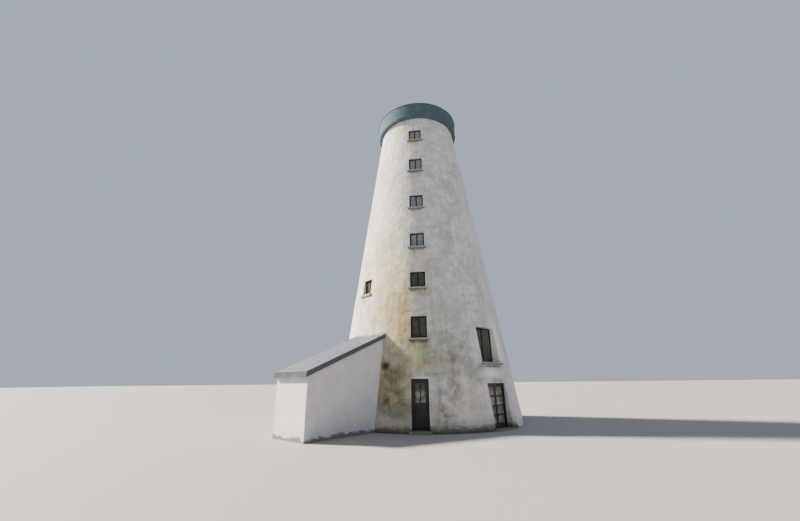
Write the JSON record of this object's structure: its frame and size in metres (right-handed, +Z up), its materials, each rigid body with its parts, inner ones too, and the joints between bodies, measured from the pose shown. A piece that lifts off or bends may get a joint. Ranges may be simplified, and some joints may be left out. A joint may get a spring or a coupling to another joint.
{
  "type": "tower mill house",
  "caption": "Tall tapered round tower mill made into a house, rendered and limewashed, with small windows, hinged glazed doors, a low dark cap and a lean-to annexe.",
  "frame": {"origin": "on the tower's axis at ground level", "axes": "+Z up, the front door faces -Y, +X to the right of someone facing the front door"},
  "size_m": [11.0322, 12.8686, 20.24],
  "materials": {
    "tower_render": "weathered limewash over render",
    "annexe_render": "smooth painted render",
    "stone": "worn stone",
    "floor_screed": "floated screed",
    "floor_boards": "boarded",
    "dark_joinery": "dark paint on timber",
    "glass": "clear",
    "ironmongery": "satin",
    "roof_covering": "weathered slate",
    "verge_paint": "dark paint on timber",
    "lead": "dull lead sheet",
    "cap_boarding": "dark paint on boards",
    "cap_covering": "dull sheet covering"
  },
  "bodies": {
    "building": {"annexe_end_wall": "annexe_render", "annexe_flashing": "lead", "annexe_floor": "floor_screed", "annexe_roof": "roof_covering", "annexe_roof_boards": "verge_paint", "annexe_side_walls": "annexe_render", "cap_roof": "cap_covering", "cap_skirt": "cap_boarding", "cap_soffit": "cap_boarding", "door_steps": "stone", "frame_hinges": "ironmongery", "front_door_frame": "dark_joinery", "front_door_lintel": "tower_render", "garden_door_frame": "dark_joinery", "ground_diagonal_walls": "tower_render", "ground_floor": "floor_screed", "ground_main_walls": "tower_render", "side_door_lintels": "tower_render", "storey_1_diagonal_walls": "tower_render", "storey_1_main_walls": "tower_render", "storey_2_diagonal_walls": "tower_render", "storey_2_main_walls": "tower_render", "storey_3_diagonal_walls": "tower_render", "storey_3_main_walls": "tower_render", "storey_4_diagonal_walls": "tower_render", "storey_4_main_walls": "tower_render", "storey_5_diagonal_walls": "tower_render", "storey_5_main_walls": "tower_render", "storey_6_diagonal_walls": "tower_render", "storey_6_main_walls": "tower_render", "upper_floors": "floor_boards", "window_frames": "dark_joinery", "window_glass": "glass", "window_sills": "stone"},
    "front_door": {"front_door_leaf": "dark_joinery", "front_door_glass": "glass", "front_door_handle": "ironmongery", "front_door_hinges": "ironmongery"},
    "garden_door_left": {"garden_door_left_leaf": "dark_joinery", "garden_door_left_glass": "glass", "garden_door_left_hinges": "ironmongery"},
    "garden_door_right": {"garden_door_right_leaf": "dark_joinery", "garden_door_right_glass": "glass", "garden_door_right_hinges": "ironmongery", "garden_door_handle": "ironmongery"}
  },
  "joints": [
    {"name": "front_door_swing", "type": "hinge", "parent": "building", "child": "front_door", "pos_m": [-0.3345, -4.56932, 0.108], "axis": [0, 0, 1], "range_deg": [0, 90]},
    {"name": "garden_door_left_swing", "type": "hinge", "parent": "building", "child": "garden_door_left", "pos_m": [2.95135, -3.54128, 0.048], "axis": [0, 0, 1], "range_deg": [0, 90]},
    {"name": "garden_door_right_swing", "type": "hinge", "parent": "building", "child": "garden_door_right", "pos_m": [3.78503, -2.63148, 0.048], "axis": [0, 0, -1], "range_deg": [0, 90]}
  ]
}
